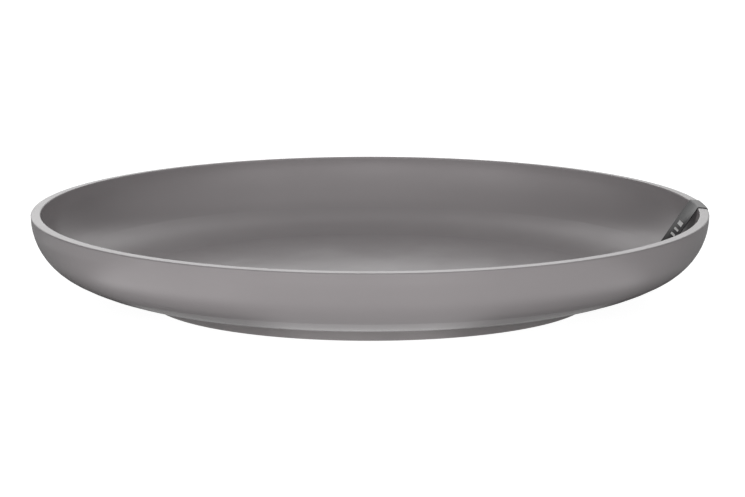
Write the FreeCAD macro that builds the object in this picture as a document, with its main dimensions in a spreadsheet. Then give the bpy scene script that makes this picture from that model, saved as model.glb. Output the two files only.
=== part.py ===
"""Shallow round ward dish: moulded shell, pressed-on foot ring, folded rim label and its print.

Millimetres, +Z up. The origin is the centre of the footprint, on the surface the dish stands on.
"""
import FreeCAD, Part

import math
import os

import Sketcher

os.makedirs("parts", exist_ok=True)
doc = FreeCAD.newDocument("ward_dish")

# ---------------------------------------------------------------------------
# Driving dimensions. Every sketch and feature below is bound to this table.
# ---------------------------------------------------------------------------
DIMENSIONS = {
    "rim_radius": 125.0,          # outside of the lip
    "dish_height": 33.0,          # standing surface to the inner edge of the lip
    "foot_height": 5.5,           # standing surface to the flat underside of the shell
    "wall_thickness": 3.65,       # the same in the floor, the wall and the lip
    "knuckle_radius": 54.8,       # outer curve from the flat underside into the wall
    "wall_radius": 23.3,          # outer curve of the wall, upright where it meets the lip
    "lip_fall": 0.4,              # how much lower the lip's outer edge is than its inner edge
    "lip_round_outer": 0.5,
    "lip_round_inner": 0.5,
    "foot_outer_radius": 81.4,    # at the standing surface
    "foot_draft": 0.3,            # how much wider the foot ring is at its top
    "foot_ring_width": 6.4,
    "foot_round": 0.9,            # rounding of both bottom edges of the foot ring
    "rib_radius": 79.3,           # outside of the rib that the foot ring is pressed over
    "rib_thickness": 2.2,
    "rib_depth": 2.4,
    "groove_gap": 0.05,           # clearance between the rib and each side of the groove
    "groove_depth": 2.8,
    "film_thickness": 0.25,
    "label_width": 17.0,
    "label_bearing": 7.5,         # degrees from +X towards +Y
    "label_corner_radius": 1.5,
    "flap_fall": 55.0,            # degrees below level at which the inner flap leaves the lip
    "flap_length": 21.0,          # straight part of the inner flap
    "apron_angle": 9.0,           # degrees that the short outer flap reaches down the outer wall
    "blank_angle": 14.0,          # degrees of the rim that the strip is trimmed from
    "print_thickness": 0.06,
    "print_spread": 3.6,          # degrees of the rim that the printed bars span
    "print_start": 8.0,           # along the inner flap, from the lip to the first bar
    "wide_bar": 1.6,
    "narrow_bar": 0.8,
    "bar_gap": 1.4,
}

table = doc.addObject("Spreadsheet::Sheet", "Dimensions")
for row, (alias, value) in enumerate(DIMENSIONS.items(), start=1):
    table.set("A%d" % row, alias)
    table.set("B%d" % row, str(value))
    table.setAlias("B%d" % row, alias)
doc.recompute()


# ---------------------------------------------------------------------------
# Helpers
# ---------------------------------------------------------------------------
START, END, CENTRE = 1, 2, 3
ORIGIN = (-1, 1)
UPRIGHT_AXIS = -2
UP = FreeCAD.Vector(0, 0, 1)


def point(across, up):
    """A point of an upright section: distance from the dish's axis, and height."""
    return FreeCAD.Vector(across, up, 0)


def line(first, second):
    """A straight piece of a section."""
    return Part.LineSegment(first, second)


def arc(centre, radius, first_angle, last_angle):
    """A counter-clockwise arc; 0 degrees points outwards and 90 points up."""
    circle = Part.Circle(centre, UP, radius)
    return Part.ArcOfCircle(circle, math.radians(first_angle), math.radians(last_angle))


def on_circle(centre, radius, angle):
    """The point of a circle that lies at an angle in degrees."""
    turn = math.radians(angle)
    return point(centre.x + radius * math.cos(turn), centre.y + radius * math.sin(turn))


def new_body(label):
    """An empty body that carries the sub-part's name."""
    body = doc.addObject("PartDesign::Body", label)
    body.Label = label
    return body


def new_sketch(body, name, role):
    """A sketch on one of the body's own origin planes."""
    sketch = body.newObject("Sketcher::SketchObject", name)
    plane = [item for item in body.Origin.OriginFeatures if item.Role == role][0]
    sketch.AttachmentSupport = [(plane, "")]
    sketch.MapMode = "FlatFace"
    return sketch


def join(sketch, first, first_end, second, second_end):
    """Two ends meet at a corner."""
    sketch.addConstraint(Sketcher.Constraint("Coincident", first, first_end, second, second_end))


def flow(sketch, first, first_end, second, second_end):
    """Two ends meet smoothly."""
    sketch.addConstraint(Sketcher.Constraint("Tangent", first, first_end, second, second_end))


def level(sketch, *lines):
    """Lines that stay horizontal."""
    for item in lines:
        sketch.addConstraint(Sketcher.Constraint("Horizontal", item))


def drive(sketch, name, formula, kind, *arguments):
    """A named dimension whose value comes from the table."""
    index = sketch.addConstraint(Sketcher.Constraint(kind, *arguments))
    sketch.renameConstraint(index, name)
    sketch.setExpression("Constraints." + name, formula)


def revolve(body, sketch, name, formula=None):
    """Turn a section round the dish's axis: all the way, or evenly to both sides by a formula."""
    upright = [item for item in body.Origin.OriginFeatures if item.Role == "Z_Axis"][0]
    feature = body.newObject("PartDesign::Revolution", name)
    feature.Profile = sketch
    feature.ReferenceAxis = (upright, [""])
    if formula is None:
        feature.Angle = 360.0
    else:
        feature.Midplane = True
        feature.setExpression("Angle", formula)
    sketch.Visibility = False
    return feature


def round_edges(body, name, base, radius_formula, wanted):
    """Fillet the edges of a feature that pass a test."""
    names = ["Edge%d" % i for i, edge in enumerate(base.Shape.Edges, start=1) if wanted(edge)]
    feature = body.newObject("PartDesign::Fillet", name)
    feature.Base = (base, names)
    feature.setExpression("Radius", radius_formula)
    return feature


def is_circle(edge, radius, height):
    """True for a circular edge of this radius at this height."""
    curve = edge.Curve
    if curve.TypeId != "Part::GeomCircle":
        return False
    return abs(curve.Radius - radius) < 0.01 and abs(curve.Center.z - height) < 0.01


# ---------------------------------------------------------------------------
# Layout worked out from the table: where the section's two curves are centred.
# ---------------------------------------------------------------------------
size = DIMENSIONS
lip_outside = point(size["rim_radius"], size["dish_height"] - size["lip_fall"])
wall_centre = point(size["rim_radius"] - size["wall_radius"], lip_outside.y)
radius_step = size["knuckle_radius"] - size["wall_radius"]
centre_rise = size["foot_height"] + size["knuckle_radius"] - wall_centre.y
knuckle_sweep = math.degrees(math.acos(centre_rise / radius_step))
flat_radius = wall_centre.x - radius_step * math.sin(math.radians(knuckle_sweep))
knuckle_centre = point(flat_radius, size["foot_height"] + size["knuckle_radius"])
meeting_angle = knuckle_sweep - 90.0
inner_wall_radius = size["wall_radius"] - size["wall_thickness"]
inner_knuckle_radius = size["knuckle_radius"] - size["wall_thickness"]
floor_height = size["foot_height"] + size["wall_thickness"]
lip_angle = math.degrees(math.asin(size["lip_fall"] / inner_wall_radius))
lip_inside = on_circle(wall_centre, inner_wall_radius, lip_angle)

# ---------------------------------------------------------------------------
# dish_shell: one moulding of even thickness, with a locating rib underneath.
# ---------------------------------------------------------------------------
shell = new_body("dish_shell")
section = new_sketch(shell, "shell_section", "XZ_Plane")
section.addGeometry([
    line(point(0, size["foot_height"]), point(flat_radius, size["foot_height"])),
    arc(knuckle_centre, size["knuckle_radius"], -90.0, meeting_angle),
    arc(wall_centre, size["wall_radius"], meeting_angle, 0.0),
    line(lip_outside, lip_inside),
    arc(wall_centre, inner_wall_radius, meeting_angle, lip_angle),
    arc(knuckle_centre, inner_knuckle_radius, -90.0, meeting_angle),
    line(point(flat_radius, floor_height), point(0, floor_height)),
    line(point(0, floor_height), point(0, size["foot_height"])),
], False)
UNDERSIDE, KNUCKLE, WALL, LIP, INNER_WALL, INNER_KNUCKLE, FLOOR, AXIS = range(8)
flow(section, UNDERSIDE, END, KNUCKLE, START)
flow(section, KNUCKLE, END, WALL, START)
join(section, WALL, END, LIP, START)
join(section, LIP, END, INNER_WALL, END)
flow(section, INNER_WALL, START, INNER_KNUCKLE, END)
flow(section, INNER_KNUCKLE, START, FLOOR, START)
join(section, FLOOR, END, AXIS, START)
join(section, AXIS, END, UNDERSIDE, START)
join(section, INNER_WALL, CENTRE, WALL, CENTRE)
join(section, INNER_KNUCKLE, CENTRE, KNUCKLE, CENTRE)
level(section, UNDERSIDE, FLOOR)
section.addConstraint(Sketcher.Constraint("Horizontal", WALL, CENTRE, WALL, END))
section.addConstraint(Sketcher.Constraint("PointOnObject", UNDERSIDE, START, UPRIGHT_AXIS))
section.addConstraint(Sketcher.Constraint("PointOnObject", FLOOR, END, UPRIGHT_AXIS))
drive(section, "foot", "Dimensions.foot_height", "DistanceY", *ORIGIN, UNDERSIDE, START, 1.0)
drive(section, "rim", "Dimensions.rim_radius", "DistanceX", *ORIGIN, WALL, END, 1.0)
drive(section, "height", "Dimensions.dish_height", "DistanceY", *ORIGIN, LIP, END, 1.0)
drive(section, "lip_fall", "Dimensions.lip_fall",
      "DistanceY", LIP, START, LIP, END, size["lip_fall"])
drive(section, "knuckle", "Dimensions.knuckle_radius", "Radius", KNUCKLE, size["knuckle_radius"])
drive(section, "wall", "Dimensions.wall_radius", "Radius", WALL, size["wall_radius"])
drive(section, "inner_wall", "Dimensions.wall_radius - Dimensions.wall_thickness",
      "Radius", INNER_WALL, inner_wall_radius)
doc.recompute()
bowl = revolve(shell, section, "bowl")
doc.recompute()

rib_outline = new_sketch(shell, "rib_outline", "XY_Plane")
rib_outline.setExpression(".AttachmentOffset.Base.z", "Dimensions.foot_height")
for name, shrink in (("outside", 0.0), ("inside", size["rib_thickness"])):
    ring = rib_outline.addGeometry(
        Part.Circle(point(0, 0), UP, size["rib_radius"] - shrink), False)
    rib_outline.addConstraint(Sketcher.Constraint("Coincident", ring, CENTRE, *ORIGIN))
    formula = "Dimensions.rib_radius"
    if shrink:
        formula += " - Dimensions.rib_thickness"
    drive(rib_outline, name, formula, "Radius", ring, size["rib_radius"] - shrink)
doc.recompute()
rib = shell.newObject("PartDesign::Pad", "locating_rib")
rib.Profile = rib_outline
rib.Reversed = True
rib.setExpression("Length", "Dimensions.rib_depth")
rib_outline.Visibility = False
doc.recompute()

lip_outer = round_edges(
    shell, "lip_outer_round", rib, "Dimensions.lip_round_outer",
    lambda edge: is_circle(edge, lip_outside.x, lip_outside.y))
doc.recompute()
lip_inner = round_edges(
    shell, "lip_inner_round", lip_outer, "Dimensions.lip_round_inner",
    lambda edge: is_circle(edge, lip_inside.x, lip_inside.y))
shell.Tip = lip_inner
doc.recompute()

# ---------------------------------------------------------------------------
# foot_ring: soft ring with a groove in its top, pressed over the shell's rib.
# ---------------------------------------------------------------------------
foot = new_body("foot_ring")
foot_section = new_sketch(foot, "foot_section", "XZ_Plane")
foot_outside = size["foot_outer_radius"]
foot_inside = foot_outside - size["foot_ring_width"]
groove_outside = size["rib_radius"] + size["groove_gap"]
groove_inside = size["rib_radius"] - size["rib_thickness"] - size["groove_gap"]
groove_floor = size["foot_height"] - size["groove_depth"]
corners = [
    point(foot_inside, 0),
    point(foot_outside, 0),
    point(foot_outside + size["foot_draft"], size["foot_height"]),
    point(groove_outside, size["foot_height"]),
    point(groove_outside, groove_floor),
    point(groove_inside, groove_floor),
    point(groove_inside, size["foot_height"]),
    point(foot_inside, size["foot_height"]),
]
count = len(corners)
foot_section.addGeometry([line(corners[i], corners[(i + 1) % count]) for i in range(count)], False)
for i in range(count):
    join(foot_section, i, END, (i + 1) % count, START)
level(foot_section, 0, 2, 4, 6)
for upright in (3, 5, 7):
    foot_section.addConstraint(Sketcher.Constraint("Vertical", upright))
foot_section.addConstraint(Sketcher.Constraint("PointOnObject", 0, START, -1))
foot_section.addConstraint(Sketcher.Constraint("Horizontal", 2, END, 6, START))
drive(foot_section, "outside", "Dimensions.foot_outer_radius", "DistanceX", *ORIGIN, 0, END, 1.0)
drive(foot_section, "width", "Dimensions.foot_ring_width", "DistanceX", 0, START, 0, END, 1.0)
drive(foot_section, "draft", "Dimensions.foot_draft", "DistanceX", 1, START, 1, END, 1.0)
drive(foot_section, "height", "Dimensions.foot_height", "DistanceY", 1, START, 1, END, 1.0)
drive(foot_section, "groove_outside", "Dimensions.rib_radius + Dimensions.groove_gap",
      "DistanceX", *ORIGIN, 3, START, 1.0)
drive(foot_section, "groove_width", "Dimensions.rib_thickness + 2 * Dimensions.groove_gap",
      "DistanceX", 4, END, 4, START, 1.0)
drive(foot_section, "groove_depth", "Dimensions.groove_depth", "DistanceY", 3, END, 3, START, 1.0)
doc.recompute()
ring_body = revolve(foot, foot_section, "ring")
doc.recompute()
foot_edges = round_edges(
    foot, "bottom_rounds", ring_body, "Dimensions.foot_round",
    lambda edge: is_circle(edge, foot_outside, 0) or is_circle(edge, foot_inside, 0))
foot.Tip = foot_edges
doc.recompute()

# ---------------------------------------------------------------------------
# rim_label: one stiff strip of film folded over the lip. Its inner flap runs straight down
# into the dish, off the hollow wall, and its short outer flap lies on the outer wall.
# ---------------------------------------------------------------------------
film = size["film_thickness"]
outer_round = size["lip_round_outer"]
inner_round = size["lip_round_inner"]
lip_slope = math.degrees(math.atan2(size["lip_fall"], lip_outside.x - lip_inside.x))
lip_normal = 90.0 - lip_slope
flap_normal = 90.0 + size["flap_fall"]


def rounding_centre(radius, reach):
    """Centre of a rounding under the lip, at a given reach from the centre of the wall."""
    inwards = on_circle(point(0, 0), 1.0, lip_normal + 90.0)
    start = on_circle(lip_outside, radius, lip_normal + 180.0)
    offset = start - wall_centre
    along = offset.dot(inwards)
    travel = -along - math.sqrt(along * along - offset.dot(offset) + reach * reach)
    return start + inwards * travel


outer_round_centre = rounding_centre(outer_round, size["wall_radius"] - outer_round)
inner_round_centre = rounding_centre(inner_round, inner_wall_radius + inner_round)
round_from_wall = outer_round_centre - wall_centre
apron_top = math.degrees(math.atan2(round_from_wall.y, round_from_wall.x))
apron_low = -size["apron_angle"]

label = new_body("rim_label")
strip = new_sketch(label, "strip_section", "XZ_Plane")


def flap_point(offset, along):
    """A point of the inner flap: its height off the glued face, and its way down from the lip."""
    top = on_circle(inner_round_centre, inner_round + offset, flap_normal)
    fall = math.radians(size["flap_fall"])
    return point(top.x - along * math.cos(fall), top.y - along * math.sin(fall))


def strip_side(offset):
    """One face of the film: inner flap, inner rounding, lip, outer rounding, outer flap."""
    return [
        line(flap_point(offset, size["flap_length"]), flap_point(offset, 0.0)),
        arc(inner_round_centre, inner_round + offset, lip_normal, flap_normal),
        line(on_circle(inner_round_centre, inner_round + offset, lip_normal),
             on_circle(outer_round_centre, outer_round + offset, lip_normal)),
        arc(outer_round_centre, outer_round + offset, apron_top, lip_normal),
        arc(wall_centre, size["wall_radius"] + offset, apron_low, apron_top),
    ]


def hold_side(first):
    """Smooth joins along one face of the film."""
    flow(strip, first, END, first + 1, END)
    flow(strip, first + 1, START, first + 2, START)
    flow(strip, first + 2, END, first + 3, END)
    flow(strip, first + 3, START, first + 4, END)


GLUED, FACE, INNER_TAB, OUTER_TAB = 0, 5, 10, 11
strip.addGeometry(strip_side(0.0) + strip_side(film) + [
    line(flap_point(0.0, size["flap_length"]), flap_point(film, size["flap_length"])),
    line(on_circle(wall_centre, size["wall_radius"] + film, apron_low),
         on_circle(wall_centre, size["wall_radius"], apron_low)),
], False)
hold_side(GLUED)
hold_side(FACE)
join(strip, INNER_TAB, START, GLUED, START)
join(strip, INNER_TAB, END, FACE, START)
join(strip, OUTER_TAB, START, FACE + 4, START)
join(strip, OUTER_TAB, END, GLUED + 4, START)
for piece in (1, 3, 4):
    join(strip, FACE + piece, CENTRE, GLUED + piece, CENTRE)
strip.addConstraint(Sketcher.Constraint("Parallel", FACE, GLUED))
strip.addConstraint(Sketcher.Constraint("Parallel", FACE + 2, GLUED + 2))
strip.addConstraint(Sketcher.Constraint("Perpendicular", INNER_TAB, GLUED))
strip.addConstraint(Sketcher.Constraint("PointOnObject", GLUED + 4, CENTRE, OUTER_TAB))
drive(strip, "wall_across", "Dimensions.rim_radius - Dimensions.wall_radius",
      "DistanceX", *ORIGIN, GLUED + 4, CENTRE, wall_centre.x)
drive(strip, "wall_height", "Dimensions.dish_height - Dimensions.lip_fall",
      "DistanceY", *ORIGIN, GLUED + 4, CENTRE, wall_centre.y)

# The two edges that the lip would have without its roundings hold the film's flat top.
outside_edge = strip.addGeometry(Part.Point(lip_outside), True)
inside_edge = strip.addGeometry(Part.Point(lip_inside), True)
for edge in (outside_edge, inside_edge):
    strip.addConstraint(Sketcher.Constraint("PointOnObject", edge, START, GLUED + 2))
strip.addConstraint(
    Sketcher.Constraint("Horizontal", GLUED + 4, CENTRE, outside_edge, START))
drive(strip, "rim", "Dimensions.rim_radius",
      "DistanceX", *ORIGIN, outside_edge, START, lip_outside.x)
drive(strip, "inside_height", "Dimensions.dish_height",
      "DistanceY", *ORIGIN, inside_edge, START, lip_inside.y)
drive(strip, "inside_reach", "Dimensions.wall_radius - Dimensions.wall_thickness",
      "Distance", GLUED + 4, CENTRE, inside_edge, START, inner_wall_radius)
drive(strip, "round_reach",
      "Dimensions.wall_radius - Dimensions.wall_thickness + Dimensions.lip_round_inner",
      "Distance", GLUED + 4, CENTRE, GLUED + 1, CENTRE, inner_wall_radius + inner_round)
drive(strip, "outer_wall", "Dimensions.wall_radius", "Radius", GLUED + 4, size["wall_radius"])
drive(strip, "inner_round", "Dimensions.lip_round_inner", "Radius", GLUED + 1, inner_round)
drive(strip, "outer_round", "Dimensions.lip_round_outer", "Radius", GLUED + 3, outer_round)
drive(strip, "film", "Dimensions.film_thickness",
      "Distance", GLUED + 2, START, FACE + 2, START, film)
drive(strip, "flap_fall", "Dimensions.flap_fall * 1 deg",
      "Angle", GLUED, math.radians(size["flap_fall"]))
drive(strip, "flap_length", "Dimensions.flap_length", "Distance", GLUED, size["flap_length"])
drive(strip, "apron", "(180 - Dimensions.apron_angle) * 1 deg",
      "Angle", OUTER_TAB, math.radians(180.0 - size["apron_angle"]))
for name, kind in (("flap_top_across", "DistanceX"), ("flap_top_height", "DistanceY")):
    index = strip.addConstraint(Sketcher.Constraint(kind, *ORIGIN, FACE, END, 1.0))
    strip.setDriving(index, False)
    strip.renameConstraint(index, name)
doc.recompute()
blank = revolve(label, strip, "blank", "Dimensions.blank_angle * 1 deg")
doc.recompute()

# The strip keeps straight, parallel sides: whatever lies beyond them is cut away.
trim_outline = new_sketch(label, "trim_outline", "XY_Plane")
half_width = size["label_width"] / 2
near_edge = size["rim_radius"] / 2
far_edge = size["rim_radius"] * 1.2
reach = size["rim_radius"] / 3
for side_name, side in (("left", 1), ("right", -1)):
    first = trim_outline.GeometryCount
    box = [
        point(near_edge, side * half_width),
        point(far_edge, side * half_width),
        point(far_edge, side * reach),
        point(near_edge, side * reach),
    ]
    trim_outline.addGeometry([line(box[i], box[(i + 1) % 4]) for i in range(4)], False)
    for i in range(4):
        join(trim_outline, first + i, END, first + (i + 1) % 4, START)
    level(trim_outline, first, first + 2)
    for upright in (first + 1, first + 3):
        trim_outline.addConstraint(Sketcher.Constraint("Vertical", upright))
    drive(trim_outline, side_name + "_near", "Dimensions.rim_radius / 2",
          "DistanceX", *ORIGIN, first, START, near_edge)
    drive(trim_outline, side_name + "_far", "Dimensions.rim_radius * 1.2",
          "DistanceX", *ORIGIN, first, END, far_edge)
    for edge_name, corner, formula, value in (
            ("side", first, "Dimensions.label_width / 2", half_width),
            ("reach", first + 2, "Dimensions.rim_radius / 3", reach)):
        ends = (*ORIGIN, corner, START) if side > 0 else (corner, START, *ORIGIN)
        drive(trim_outline, "%s_%s" % (side_name, edge_name), formula,
              "DistanceY", *ends, value)
doc.recompute()
sides = label.newObject("PartDesign::Pocket", "straight_sides")
sides.Profile = trim_outline
sides.Type = "ThroughAll"
sides.Midplane = True
trim_outline.Visibility = False
doc.recompute()
flap_corners = round_edges(
    label, "flap_corners", sides, "Dimensions.label_corner_radius",
    lambda edge: edge.Length < 1.5 * film and abs(abs(edge.CenterOfMass.y) - half_width) < 0.01
    and edge.CenterOfMass.z < size["dish_height"] - outer_round)
label.Tip = flap_corners
doc.recompute()

# ---------------------------------------------------------------------------
# label_print: plain bars of pale ink on the inner flap. The sketch's own X runs up the flap
# towards the lip, from the top of the flap, and its Y stands off the film.
# ---------------------------------------------------------------------------
marks = new_body("label_print")
marks.AllowCompound = True
bars = new_sketch(marks, "bars", "XZ_Plane")
bars.AttachmentOffset = FreeCAD.Placement(
    flap_point(film, 0.0), FreeCAD.Rotation(UP, size["flap_fall"]))
bars.setExpression(".AttachmentOffset.Base.x", "strip_section.Constraints.flap_top_across")
bars.setExpression(".AttachmentOffset.Base.y", "strip_section.Constraints.flap_top_height")
bars.setExpression(".AttachmentOffset.Rotation.Angle", "Dimensions.flap_fall * 1 deg")
ink = size["print_thickness"]
start = size["print_start"]
start_formula = "Dimensions.print_start"
for bar_name, key in (("wide", "wide_bar"), ("upper", "narrow_bar"), ("lower", "narrow_bar")):
    first = bars.GeometryCount
    end = start + size[key]
    outline = [point(-end, 0), point(-start, 0), point(-start, ink), point(-end, ink)]
    bars.addGeometry([line(outline[i], outline[(i + 1) % 4]) for i in range(4)], False)
    for i in range(4):
        join(bars, first + i, END, first + (i + 1) % 4, START)
    level(bars, first + 2)
    for upright in (first + 1, first + 3):
        bars.addConstraint(Sketcher.Constraint("Vertical", upright))
    for corner in (START, END):
        bars.addConstraint(Sketcher.Constraint("PointOnObject", first, corner, -1))
    drive(bars, bar_name + "_start", start_formula, "DistanceX", first, END, *ORIGIN, start)
    drive(bars, bar_name + "_width", "Dimensions." + key,
          "DistanceX", first, START, first, END, size[key])
    drive(bars, bar_name + "_ink", "Dimensions.print_thickness",
          "DistanceY", first + 1, START, first + 1, END, ink)
    start = end + size["bar_gap"]
    start_formula += " + Dimensions.%s + Dimensions.bar_gap" % key
doc.recompute()
marks.Tip = revolve(marks, bars, "printed", "Dimensions.print_spread * 1 deg")
doc.recompute()

# ---------------------------------------------------------------------------
# Assembly: the label and its print are turned to their bearing on the rim.
# ---------------------------------------------------------------------------
for body in (shell, foot):
    body.Placement = FreeCAD.Placement()
for body in (label, marks):
    body.Placement = FreeCAD.Placement(
        FreeCAD.Vector(0, 0, 0), FreeCAD.Rotation(UP, size["label_bearing"]))
    body.setExpression("Placement.Rotation.Angle", "Dimensions.label_bearing * 1 deg")
doc.recompute()

faults = []
for item in doc.Objects:
    if "Invalid" in item.State or "Error" in item.State:
        faults.append("%s: %s" % (item.Name, item.State))
for body in (shell, foot, label, marks):
    if body.Shape.isNull() or not body.Shape.isValid() or not body.Shape.Solids:
        faults.append("%s has no valid solid" % body.Label)
if faults:
    raise RuntimeError("; ".join(faults))
for body in (shell, foot, label, marks):
    body.Shape.exportStep("parts/%s.step" % body.Label)
    print("%s: %d solid(s), %.2f mm3" % (body.Label, len(body.Shape.Solids), body.Shape.Volume))
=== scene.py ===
import math

import bpy
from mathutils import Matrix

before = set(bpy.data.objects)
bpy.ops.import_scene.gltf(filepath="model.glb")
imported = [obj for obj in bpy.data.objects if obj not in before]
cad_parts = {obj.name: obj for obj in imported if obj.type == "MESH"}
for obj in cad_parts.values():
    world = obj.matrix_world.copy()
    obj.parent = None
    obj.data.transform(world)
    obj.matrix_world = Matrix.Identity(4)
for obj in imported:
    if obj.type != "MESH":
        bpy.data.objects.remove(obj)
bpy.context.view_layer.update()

# ---------------------------------------------------------------------------
# Node helpers
# ---------------------------------------------------------------------------
def new_material(name):
    """An empty node material, its tree and its Principled shader."""
    material = bpy.data.materials.new(name)
    material.use_nodes = True
    tree = material.node_tree
    tree.nodes.clear()
    shader = tree.nodes.new("ShaderNodeBsdfPrincipled")
    output = tree.nodes.new("ShaderNodeOutputMaterial")
    tree.links.new(shader.outputs["BSDF"], output.inputs["Surface"])
    return material, tree, shader


def object_position(tree):
    """The point on the object, in metres, the same from every view."""
    return tree.nodes.new("ShaderNodeTexCoord").outputs["Object"]


def is_camera_ray(tree):
    """1 where the surface is looked at directly, 0 where it lights or is reflected."""
    return tree.nodes.new("ShaderNodeLightPath").outputs["Is Camera Ray"]


def noise(tree, vector, scale, detail, rough):
    """A noise value; scale is features per metre."""
    node = tree.nodes.new("ShaderNodeTexNoise")
    node.inputs["Scale"].default_value = scale
    node.inputs["Detail"].default_value = detail
    node.inputs["Roughness"].default_value = rough
    tree.links.new(vector, node.inputs["Vector"])
    return node.outputs["Fac"]


def math_node(tree, operation, *values):
    """One arithmetic step on sockets or numbers."""
    node = tree.nodes.new("ShaderNodeMath")
    node.operation = operation
    for index, value in enumerate(values):
        if isinstance(value, (int, float)):
            node.inputs[index].default_value = value
        else:
            tree.links.new(value, node.inputs[index])
    return node.outputs[0]


def map_range(tree, value, low, high, to_low, to_high, smooth=False):
    """A value moved from one range to another, clamped."""
    node = tree.nodes.new("ShaderNodeMapRange")
    node.interpolation_type = "SMOOTHSTEP" if smooth else "LINEAR"
    tree.links.new(value, node.inputs["Value"])
    node.inputs["From Min"].default_value = low
    node.inputs["From Max"].default_value = high
    node.inputs["To Min"].default_value = to_low
    node.inputs["To Max"].default_value = to_high
    return node.outputs["Result"]


def mix_colour(tree, factor, first, second):
    """Two fixed colours mixed by a value."""
    node = tree.nodes.new("ShaderNodeMix")
    node.data_type = "RGBA"
    tree.links.new(factor, node.inputs["Factor"])
    # Sockets 6 and 7 are the Mix node's two colours, and output 2 is its colour result.
    node.inputs[6].default_value = (*first, 1.0)
    node.inputs[7].default_value = (*second, 1.0)
    return node.outputs[2]


def mix_value(tree, factor, first, second):
    """A linked value and a fixed one, mixed by a third value."""
    node = tree.nodes.new("ShaderNodeMix")
    tree.links.new(factor, node.inputs["Factor"])
    tree.links.new(first, node.inputs["A"])
    node.inputs["B"].default_value = second
    return node.outputs["Result"]


# Noise is stretched so that this part of its range covers the whole of a material's own range.
NOISE_LOW, NOISE_HIGH = 0.3, 0.7


def colour_between(tree, shader, value, dark, pale, low=NOISE_LOW, high=NOISE_HIGH):
    """A base colour that wanders from dark to pale with a noise value."""
    share = map_range(tree, value, low, high, 0.0, 1.0)
    tree.links.new(mix_colour(tree, share, dark, pale), shader.inputs["Base Color"])


def roughness_between(tree, shader, value, smooth, rough):
    """A roughness that wanders between two numbers with a noise value."""
    spread = map_range(tree, value, NOISE_LOW, NOISE_HIGH, smooth, rough)
    tree.links.new(spread, shader.inputs["Roughness"])


def bump(tree, shader, height, strength, distance):
    """A bump from a height value; distance is the height's real size in metres."""
    node = tree.nodes.new("ShaderNodeBump")
    node.inputs["Strength"].default_value = strength
    node.inputs["Distance"].default_value = distance
    tree.links.new(height, node.inputs["Height"])
    tree.links.new(node.outputs["Normal"], shader.inputs["Normal"])


# ---------------------------------------------------------------------------
# Materials
# ---------------------------------------------------------------------------
def shell_material():
    """Satin warm-grey moulded plastic, faintly cloudy, with a very fine grain."""
    material, tree, shader = new_material("satin_grey")
    place = object_position(tree)
    cloud = noise(tree, place, 22.0, 3.0, 0.55)
    speck = noise(tree, place, 2600.0, 2.0, 0.6)
    tone = math_node(tree, "MULTIPLY_ADD", speck, 0.25, math_node(tree, "MULTIPLY", cloud, 0.75))
    colour_between(tree, shader, tone, (0.252, 0.236, 0.240), (0.268, 0.251, 0.255))
    roughness_between(tree, shader, noise(tree, place, 55.0, 4.0, 0.6), 0.19, 0.25)
    bump(tree, shader, noise(tree, place, 3200.0, 2.0, 0.5), 0.25, 0.00003)
    shader.inputs["IOR"].default_value = 1.5
    shader.inputs["Specular Tint"].default_value = (1.0, 0.955, 0.965, 1.0)
    return material


def foot_material():
    """Soft matt elastomer, a little paler and duller than the shell."""
    material, tree, shader = new_material("soft_grey")
    place = object_position(tree)
    cloud = noise(tree, place, 60.0, 4.0, 0.6)
    colour_between(tree, shader, cloud, (0.285, 0.267, 0.269), (0.325, 0.304, 0.306))
    roughness_between(tree, shader, noise(tree, place, 300.0, 3.0, 0.6), 0.45, 0.56)
    bump(tree, shader, noise(tree, place, 1800.0, 3.0, 0.6), 0.35, 0.00005)
    return material


def film_material():
    """Smooth black label film with a weak sheen, slightly wavy as if laid by hand."""
    material, tree, shader = new_material("black_film")
    place = object_position(tree)
    cloud = noise(tree, place, 400.0, 3.0, 0.5)
    colour_between(tree, shader, cloud, (0.010, 0.010, 0.011), (0.016, 0.016, 0.017))
    roughness_between(tree, shader, noise(tree, place, 700.0, 3.0, 0.6), 0.13, 0.19)
    shader.inputs["Specular IOR Level"].default_value = 0.05
    shader.inputs["Specular Tint"].default_value = (0.80, 0.77, 0.78, 1.0)
    bump(tree, shader, noise(tree, place, 260.0, 2.0, 0.5), 0.2, 0.00006)
    return material


def ink_material():
    """Pale printed ink, slightly uneven."""
    material, tree, shader = new_material("pale_ink")
    speck = noise(tree, object_position(tree), 3000.0, 3.0, 0.6)
    colour_between(tree, shader, speck, (0.50, 0.50, 0.50), (0.66, 0.66, 0.65), 0.35, 0.65)
    roughness_between(tree, shader, speck, 0.35, 0.5)
    return material


LOOKS = {
    "dish_shell": shell_material(),
    "foot_ring": foot_material(),
    "rim_label": film_material(),
    "label_print": ink_material(),
}
for node_name, look in LOOKS.items():
    for material_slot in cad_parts[node_name].material_slots:
        material_slot.material = look

# ---------------------------------------------------------------------------
# Floor and light. A bearing of 0 is the front (-Y), 90 is the right (+X), -90 is the left.
# ---------------------------------------------------------------------------
FLOOR_REACH = 30.0
# A hair below the foot, so that the two never lie in one plane.
FLOOR_LEVEL = -0.0001
FLOOR_CORNERS = ((-1, -1), (1, -1), (1, 1), (-1, 1))
floor_mesh = bpy.data.meshes.new("studio_floor")
floor_mesh.from_pydata(
    [(x * FLOOR_REACH, y * FLOOR_REACH, FLOOR_LEVEL) for x, y in FLOOR_CORNERS],
    [], [(0, 1, 2, 3)])
studio_floor = bpy.data.objects.new("studio_floor", floor_mesh)
bpy.context.scene.collection.objects.link(studio_floor)

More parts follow.
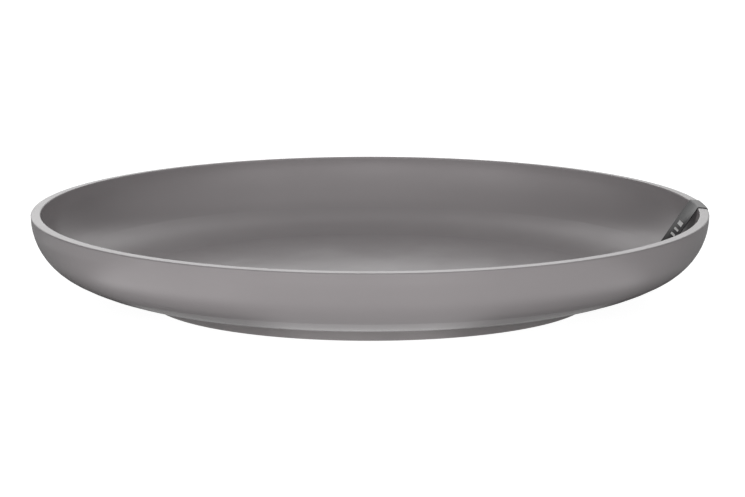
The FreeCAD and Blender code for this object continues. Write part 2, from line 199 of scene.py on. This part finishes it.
# The floor is a light table. Looked at directly it is evenly pale, but it lights the dish by
# rings and bearings, most of all from the front.
FLOOR_SHOWN = 0.96
floor_look, floor_tree, floor_shader = new_material("pale_floor")
floor_mesh.materials.append(floor_look)
floor_shader.inputs["Base Color"].default_value = (0.3, 0.3, 0.3, 1.0)
floor_shader.inputs["Roughness"].default_value = 1.0
floor_shader.inputs["Specular IOR Level"].default_value = 0.0
floor_shader.inputs["Emission Color"].default_value = (1.0, 1.0, 1.0, 1.0)
axes = floor_tree.nodes.new("ShaderNodeSeparateXYZ")
floor_tree.links.new(object_position(floor_tree), axes.inputs[0])
east, north = axes.outputs["X"], axes.outputs["Y"]
away = math_node(floor_tree, "SQRT", math_node(
    floor_tree, "MULTIPLY_ADD", east, east, math_node(floor_tree, "MULTIPLY", north, north)))
turned = math_node(floor_tree, "ARCTAN2", east, math_node(floor_tree, "MULTIPLY", north, -1.0))
turned = math_node(floor_tree, "MULTIPLY", turned, 180.0 / math.pi)


def soft_bands(value, edges):
    """Bands of a value that hand over smoothly; each edge is (place, half of its softness)."""
    steps = [map_range(floor_tree, value, edge - half, edge + half, 0.0, 1.0, smooth=True)
             for edge, half in edges]
    bands = [math_node(floor_tree, "SUBTRACT", 1.0, steps[0])]
    bands += [math_node(floor_tree, "SUBTRACT", inner, outer)
              for inner, outer in zip(steps, steps[1:])]
    return bands + [steps[-1]]


# How strongly each ring of the floor lights the dish. A row is a ring, from the middle outwards,
# and goes from the back round by the left, the front and the right to the back again.
SECTOR_EDGES = [(place, 8.0) for place in (-110.0, -65.0, -22.0, 22.0, 65.0, 110.0)]
RING_EDGES = [(0.08, 0.004), (0.10, 0.0045), (0.125, 0.0075), (0.17, 0.015), (0.25, 0.03),
              (0.45, 0.06)]
RING_LIGHT = (
    (0.30, 0.30, 0.30, 0.30, 0.30, 0.30, 0.30),
    (0.00, 0.00, 0.36, 0.65, 0.30, 0.00, 0.00),
    (0.00, 0.00, 0.05, 0.42, 0.05, 0.00, 0.00),
    (0.05, 0.08, 1.05, 0.80, 0.78, 0.08, 0.05),
    (0.10, 0.32, 1.10, 1.20, 0.85, 0.10, 0.10),
    (0.10, 0.09, 0.41, 0.56, 0.31, 0.05, 0.10),
    (0.10, 0.09, 0.30, 0.37, 0.12, 0.05, 0.10),
)
rings = soft_bands(away, RING_EDGES)
sectors = soft_bands(turned, SECTOR_EDGES)
thrown = 0.0
for ring, weights in zip(rings, RING_LIGHT):
    around = 0.0
    for sector, weight in zip(sectors, weights):
        around = math_node(floor_tree, "MULTIPLY_ADD", sector, weight, around)
    thrown = math_node(floor_tree, "MULTIPLY_ADD", ring, around, thrown)
shown = mix_value(floor_tree, is_camera_ray(floor_tree), thrown, FLOOR_SHOWN)
floor_tree.links.new(shown, floor_shader.inputs["Emission Strength"])

# Seen from below, the floor is clear, so that the underside of the dish can be looked at.
clear = floor_tree.nodes.new("ShaderNodeBsdfTransparent")
below = floor_tree.nodes.new("ShaderNodeNewGeometry").outputs["Backfacing"]
either = floor_tree.nodes.new("ShaderNodeMixShader")
floor_tree.links.new(below, either.inputs["Fac"])
floor_tree.links.new(floor_shader.outputs["BSDF"], either.inputs[1])
floor_tree.links.new(clear.outputs["BSDF"], either.inputs[2])
floor_output = next(node for node in floor_tree.nodes if node.type == "OUTPUT_MATERIAL")
floor_tree.links.new(either.outputs["Shader"], floor_output.inputs["Surface"])

# The room: broad soft lobes of light, each (elevation, bearing, strength). A higher power makes
# the lobes at an elevation narrower. Looked at directly, the room is evenly pale.
LOBES = [
    (6, 0, 2.12), (6, 40, 1.46), (6, 80, 0.36), (6, 160, 0.54), (6, 200, 1.30), (6, 280, 0.86),
    (6, 320, 1.85), (32, 0, 0.96), (32, 45, 0.77), (32, 90, 0.26), (32, 180, 2.45),
    (32, 270, 0.18), (32, 315, 0.94), (60, 0, 0.60), (60, 90, 0.38), (60, 270, 0.06),
    (90, 0, 0.40),
]
LOBE_POWER = {6: 14.0, 32: 14.0, 60: 10.0, 90: 8.0}
ROOM_COLOUR = (0.8, 0.8, 0.8, 1.0)
ROOM_SHOWN = 1.25
world = bpy.data.worlds.new("studio")
bpy.context.scene.world = world
world.use_nodes = True
room = world.node_tree
background = room.nodes["Background"]
background.inputs["Color"].default_value = ROOM_COLOUR
facing = room.nodes.new("ShaderNodeVectorMath")
facing.operation = "NORMALIZE"
room.links.new(room.nodes.new("ShaderNodeTexCoord").outputs["Generated"], facing.inputs[0])
light = 0.0
for elevation, bearing, strength in LOBES:
    up, turn = math.radians(elevation), math.radians(bearing)
    dot = room.nodes.new("ShaderNodeVectorMath")
    dot.operation = "DOT_PRODUCT"
    dot.inputs[1].default_value = (
        math.sin(turn) * math.cos(up), -math.cos(turn) * math.cos(up), math.sin(up))
    room.links.new(facing.outputs[0], dot.inputs[0])
    lobe = math_node(room, "POWER", math_node(room, "MAXIMUM", dot.outputs["Value"], 0.0),
                     LOBE_POWER[elevation])
    light = math_node(room, "MULTIPLY_ADD", lobe, strength, light)
room_light = mix_value(room, is_camera_ray(room), light, ROOM_SHOWN)
room.links.new(room_light, background.inputs["Strength"])

# ---------------------------------------------------------------------------
# Camera: a long lens from far in front, looking down a little.
# ---------------------------------------------------------------------------
CAMERA_PLACE = (0.00092, -2.45685, 0.46290)
CAMERA_ELEVATION = 10.241
LENS = 326.9
SENSOR_WIDTH = 36.0
camera_data = bpy.data.cameras.new("camera")
camera_data.sensor_width = SENSOR_WIDTH
camera_data.lens = LENS
camera_data.clip_start = 0.1
camera_data.clip_end = 100.0
camera = bpy.data.objects.new("camera", camera_data)
camera.location = CAMERA_PLACE
camera.rotation_euler = (math.radians(90.0 - CAMERA_ELEVATION), 0.0, 0.0)
bpy.context.scene.collection.objects.link(camera)
bpy.context.scene.camera = camera

bpy.context.scene.view_settings.view_transform = "Standard"
